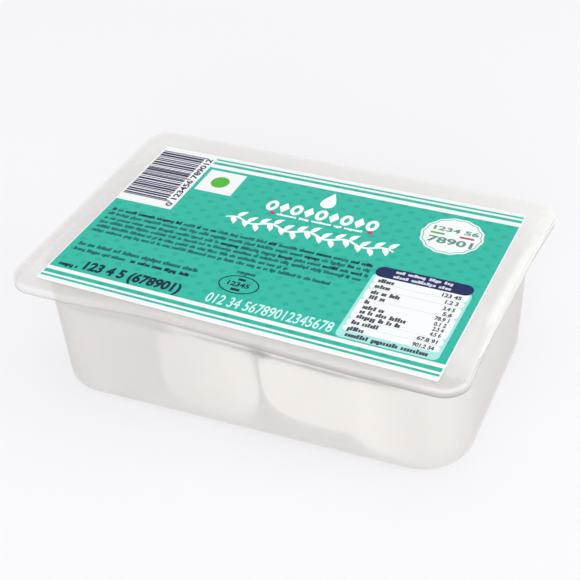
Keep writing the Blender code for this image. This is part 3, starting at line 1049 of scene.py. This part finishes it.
def stroke(u, v, widths):
    """A brush stroke along a path, as wide as each point's width in metres, square to the path."""
    path = np.stack([np.asarray(u) * LABEL_LONG, np.asarray(v) * LABEL_DEEP], -1)
    along = np.gradient(path, axis=0)
    along /= np.linalg.norm(along, axis=1, keepdims=True)
    side = np.stack([-along[:, 1], along[:, 0]], -1) * np.asarray(widths)[:, None] / 2
    outline = np.concatenate([path - side, (path + side)[::-1]])
    return outline / (LABEL_LONG, LABEL_DEEP)


def leaf(u, v, lean):
    """A leaf from its stalk end: its width goes as the sine of the way along, and its midline bends."""
    share = np.linspace(0.02, 0.98, 16)
    bend = LEAF_BEND * np.sin(math.pi * share) * LEAF_LONG
    x = share * LEAF_LONG * math.cos(lean) - bend * math.sin(lean)
    y = share * LEAF_LONG * math.sin(lean) + bend * math.cos(lean)
    return stroke(u + x / LABEL_LONG, v + y / LABEL_DEEP, LEAF_WIDE * np.sin(math.pi * share**0.85))


def stem_at(share):
    """Where the wavy stem is at a share of its length."""
    u = SPRIG_START + (SPRIG_END - SPRIG_START) * share
    return u, SPRIG_MIDDLE + SPRIG_WAVE * np.sin(SPRIG_HALF_TURNS * math.pi * share)


def sprig():
    """A wavy stem, widest in its middle, with a leaf on alternate sides at even steps."""
    share = np.linspace(0, 1, 90)
    thin, wide = STEM_WIDTHS
    shapes = [plate(stroke(*stem_at(share), thin + (wide - thin) * np.sin(math.pi * share)), MARK_LEVEL)]
    for index, place in enumerate(LEAF_PLACES):
        lean = LEAF_LEAN if index % 2 else -LEAF_LEAN
        shapes.append(plate(leaf(*stem_at(place), lean), MARK_LEVEL + 1 + index % 2))
    return shapes


ornaments = [plate(drop(DROP_MIDDLE, DROP_HALF), MARK_LEVEL)]
for index, place in enumerate(ROW_PLACES):
    middle = (place, ROW_MIDDLE)
    if index % 2:
        ornaments.append(plate(oval(middle, LOZENGE_HALF, 4), MARK_LEVEL))
    else:
        ornaments.append(band_plate(oval(middle, RING_OUTER), oval(middle, RING_INNER), MARK_LEVEL))
ornaments.append(box_plates(fine_print(*ORNAMENT_LINE)[0], MARK_LEVEL))
add_ink("print_ornament", ornaments + sprig(), ORNAMENT_WHITE)
pale_numbers = numbers("012 34 56789012345678", PALE_NUMBERS_BOX, MARK_LEVEL, bold=0.012)
add_ink("print_numbers", [pale_numbers], PALE_INK)

# The round seal is a white scalloped disc with a thin wavy teal ring, two rows of plain numbers, and a green
# and a red dash between them. The red ink also prints the two ticks at the ends of the ornament's fine line.
SEAL_MIDDLE = (0.8645, 0.7745)
SEAL_HALF = (0.0765, 0.1165)
SEAL_WAVES = 14
SEAL_DISC = (0.985, 0.016)
SEAL_RING_OUTER = (0.918, 0.024)
SEAL_RING_INNER = (0.888, 0.024)
SEAL_NUMBERS = (("1234 56", (0.812, 0.924, 0.797, 0.824)), ("78901", (0.812, 0.922, 0.718, 0.758)))
SEAL_GREEN_DASH = (0.8105, 0.8455, 0.7725, 0.7835)
SEAL_RED_DASH = (0.8825, 0.9185, 0.7725, 0.7835)
DASH_CORNER = 0.0004
RED_TICKS = ((0.409, 0.422, 0.6835, 0.7), (0.670, 0.683, 0.6835, 0.7))
SEAL_RING_INK = (0.10, 0.42, 0.36, 1.0)
SEAL_NUMBER_INK = (0.10, 0.27, 0.22, 1.0)
SEAL_GREEN_INK = (0.10, 0.36, 0.06, 1.0)
RED_INK = (0.47, 0.045, 0.10, 1.0)


def scalloped(share, depth):
    """The seal's outline at a share of its size: an ellipse whose radius goes in and out by a cosine."""
    turn = np.linspace(0, 2 * math.pi, 168, endpoint=False)
    reach = share * (1 + depth * np.cos(SEAL_WAVES * turn))
    direction = np.stack([np.cos(turn), np.sin(turn)], -1)
    return np.array(SEAL_MIDDLE) + np.array(SEAL_HALF) * reach[:, None] * direction


seal_ring = band_plate(scalloped(*SEAL_RING_OUTER), scalloped(*SEAL_RING_INNER), MARK_LEVEL + 1)
seal_marks = [numbers(text, box, MARK_LEVEL + 1, bold=0.03) for text, box in SEAL_NUMBERS]
green_dash = plate(round_box(*SEAL_GREEN_DASH, DASH_CORNER), MARK_LEVEL + 1)
red_dash = plate(round_box(*SEAL_RED_DASH, DASH_CORNER), MARK_LEVEL + 1)
add_ink("seal_ground", [plate(scalloped(*SEAL_DISC), MARK_LEVEL)], WHITE_INK)
add_ink("seal_ring", [seal_ring], SEAL_RING_INK)
add_ink("seal_marks", seal_marks, SEAL_NUMBER_INK)
add_ink("seal_green", [green_dash], SEAL_GREEN_INK)
add_ink("print_red", [red_dash, box_plates(RED_TICKS, MARK_LEVEL)], RED_INK)

# The table of values is a pale ground with a rounded white cell for each group of rows, thin rules between
# them, and a dark rounded heading. Its words are rows of small blocks, and its values are plain numbers.
TABLE_GROUND = (0.36, 0.72, 0.68, 1.0)
TABLE_WHITE = (0.82, 0.84, 0.85, 1.0)
TABLE_DARK = (0.055, 0.065, 0.085, 1.0)
TABLE_RULE = (0.62, 0.72, 0.72, 1.0)
HEADING_INK = (0.010, 0.020, 0.095, 1.0)
HEADING_PALE = (0.62, 0.62, 0.72, 1.0)
TABLE_BOX = (0.7465, 0.9815, 0.0925, 0.470)
TABLE_CORNER = 0.0022
CELL_LEFT = 0.7535
CELL_RIGHT = 0.9755
CELL_CORNER = 0.0015
CELL_MARGIN = 0.0006
CELLS_BACK = 0.4620
CELLS_FRONT = 0.1315
HEADING_BOX = (0.7465, 0.9785, 0.4515, 0.5135)
HEADING_CORNER = 0.0028
HEADING_LINES = ((0.792, 0.932, 0.4895, 0.0015, 0.00105), (0.792, 0.932, 0.4615, 0.0015, 0.00105))
# Middle of the row, start and end of its words, its value, start of the value.
ROWS = (
    (0.4315, 0.765, 0.803, "123 45", 0.917),
    (0.3970, 0.765, 0.806, "1.2 3", 0.932),
    (0.3610, 0.765, 0.840, "3.4 5", 0.935),
    (0.3320, 0.768, 0.806, "5.6", 0.940),
    (0.3010, 0.765, 0.782, "78.9 1", 0.929),
    (0.2720, 0.768, 0.822, "0.1 2", 0.934),
    (0.2450, 0.768, 0.880, "2.3 4", 0.937),
    (0.2170, 0.768, 0.872, "4.5 6", 0.937),
    (0.1820, 0.765, 0.829, "67.8 91", 0.916),
    (0.1470, 0.765, 0.807, "901.2 34", 0.914),
)
ROW_TALL = 0.0021
ROW_PITCH = 0.00092
VALUE_END = 0.962
LAST_LINE = (0.768, 0.962, 0.1025, 0.0020, WIDE_PITCH)
RULES = (0.4140, 0.3790, 0.3170, 0.1995, 0.1645)
RULE_START = 0.760
RULE_END = 0.970
RULE_HALF = 0.0014

edges = (CELLS_BACK, *RULES, CELLS_FRONT)
cells = [
    round_box(CELL_LEFT, CELL_RIGHT, front + CELL_MARGIN, back - CELL_MARGIN, CELL_CORNER)
    for back, front in zip(edges, edges[1:])
]
row_marks = []
value_marks = []
for row_middle, start, end, value, value_start in ROWS:
    base = row_middle - 0.5 * ROW_TALL / LABEL_DEEP
    value_box = (value_start, VALUE_END, base, base + ROW_TALL / LABEL_DEEP)
    row_marks.append(box_plates(fine_print(start, end, base, ROW_TALL, ROW_PITCH)[0], MARK_LEVEL + 2))
    value_marks.append(numbers(value, value_box, MARK_LEVEL + 2, bold=0.04))
row_marks.append(box_plates(fine_print(*LAST_LINE)[0], MARK_LEVEL + 1))
heading_boxes = np.concatenate([fine_print(*line)[0] for line in HEADING_LINES])
rule_boxes = [(RULE_START, RULE_END, rule - RULE_HALF, rule + RULE_HALF) for rule in RULES]
add_ink("table_ground", [plate(round_box(*TABLE_BOX, TABLE_CORNER), MARK_LEVEL)], TABLE_GROUND)
add_ink("table_panel", [plate(cell, MARK_LEVEL + 1) for cell in cells], TABLE_WHITE)
add_ink("table_heading", [plate(round_box(*HEADING_BOX, HEADING_CORNER), MARK_LEVEL + 2)], HEADING_INK)
add_ink("table_marks", row_marks + value_marks, TABLE_DARK)
add_ink("table_rules", [box_plates(rule_boxes, MARK_LEVEL + 2)], TABLE_RULE)
add_ink("heading_marks", [box_plates(heading_boxes, MARK_LEVEL + 3)], HEADING_PALE)

# The table is a plain pale sheet, lit from below as well, so that the shadow on it stays faint. Soft light
# comes from all round, with three broad lamps: one in front, one at the right and one above.
TABLE_HALF = 8.0
TABLE_DROP = 0.0002
TABLE_COLOUR = (0.36, 0.36, 0.37, 1.0)
TABLE_ROUGHNESS = 0.9
TABLE_LIGHT = (1.0, 1.0, 1.02, 1.0)
TABLE_LIGHT_STRENGTH = 0.535
STUDIO_LIGHT = 0.8
LAMP_TARGET = (0.0, 0.0, 0.02)
# Name, size, power, place.
LAMPS = (
    ("lamp_front", 0.8, 12.0, (0.5, -1.4, 0.7)),
    ("lamp_right", 0.8, 6.5, (1.5, 0.2, 0.5)),
    ("lamp_top", 1.5, 5.5, (0.0, 0.1, 2.0)),
)


def add_table():
    """A flat square with its middle below the tray."""
    corners = [(-1, -1), (1, -1), (1, 1), (-1, 1)]
    points = [(TABLE_HALF * x, TABLE_HALF * y, -TABLE_DROP) for x, y in corners]
    pale = bpy.data.materials.new("pale_table")
    pale.use_nodes = True
    shader = pale.node_tree.nodes["Principled BSDF"]
    shader.inputs["Base Color"].default_value = TABLE_COLOUR
    shader.inputs["Roughness"].default_value = TABLE_ROUGHNESS
    shader.inputs["Specular IOR Level"].default_value = 0.0
    shader.inputs["Emission Color"].default_value = TABLE_LIGHT
    shader.inputs["Emission Strength"].default_value = TABLE_LIGHT_STRENGTH
    table = add_piece("table", points, [[0, 1, 2, 3]], pale)


def add_lamp(name, size, power, place):
    """A square soft lamp that looks at the tray."""
    light = bpy.data.lights.new(name, "AREA")
    light.size = size
    light.energy = power
    lamp = bpy.data.objects.new(name, light)
    lamp.location = place
    lamp.rotation_mode = "QUATERNION"
    lamp.rotation_quaternion = (Vector(LAMP_TARGET) - Vector(place)).to_track_quat("-Z", "Y")
    bpy.context.scene.collection.objects.link(lamp)


add_table()
world = bpy.data.worlds.new("studio")
world.use_nodes = True
world.node_tree.nodes["Background"].inputs["Color"].default_value = (1.0, 1.0, 1.0, 1.0)
world.node_tree.nodes["Background"].inputs["Strength"].default_value = STUDIO_LIGHT
bpy.context.scene.world = world
for lamp in LAMPS:
    add_lamp(*lamp)

# The camera stands in front, to the right and above, and is rolled a little. Its place, angles and focal
# length in pixels were fitted to the tray's outline. Light may pass through many sheets on its way to it.
CAMERA_PLACE = (0.17405, -0.34239, 0.31657)
CAMERA_AZIMUTH = math.radians(26.163)
CAMERA_ELEVATION = math.radians(36.822)
CAMERA_ROLL = math.radians(-3.331)
FOCAL_PIXELS = 1328.56
FRAME_PIXELS = 580
MIDDLE_PIXELS = (305.54, 289.87)
SENSOR = 36.0

back = Vector(
    (
        math.sin(CAMERA_AZIMUTH) * math.cos(CAMERA_ELEVATION),
        -math.cos(CAMERA_AZIMUTH) * math.cos(CAMERA_ELEVATION),
        math.sin(CAMERA_ELEVATION),
    )
)
level_right = Vector((math.cos(CAMERA_AZIMUTH), math.sin(CAMERA_AZIMUTH), 0.0))
level_up = back.cross(level_right)
right = math.cos(CAMERA_ROLL) * level_right + math.sin(CAMERA_ROLL) * level_up
up = back.cross(right)
lens = bpy.data.cameras.new("camera")
lens.sensor_width = SENSOR
lens.lens = SENSOR * FOCAL_PIXELS / FRAME_PIXELS
lens.shift_x = (FRAME_PIXELS / 2 - MIDDLE_PIXELS[0]) / FRAME_PIXELS
lens.shift_y = (MIDDLE_PIXELS[1] - FRAME_PIXELS / 2) / FRAME_PIXELS
lens.clip_start = 0.01
lens.clip_end = 50.0
camera = bpy.data.objects.new("camera", lens)
camera.matrix_world = Matrix.Translation(CAMERA_PLACE) @ Matrix((right, up, back)).transposed().to_4x4()
bpy.context.scene.collection.objects.link(camera)
bpy.context.scene.camera = camera
bpy.context.scene.view_settings.view_transform = "Standard"
bpy.context.scene.cycles.transparent_max_bounces = 32
bpy.context.scene.cycles.max_bounces = 24
bpy.context.scene.cycles.diffuse_bounces = 16
bpy.context.scene.cycles.transmission_bounces = 16
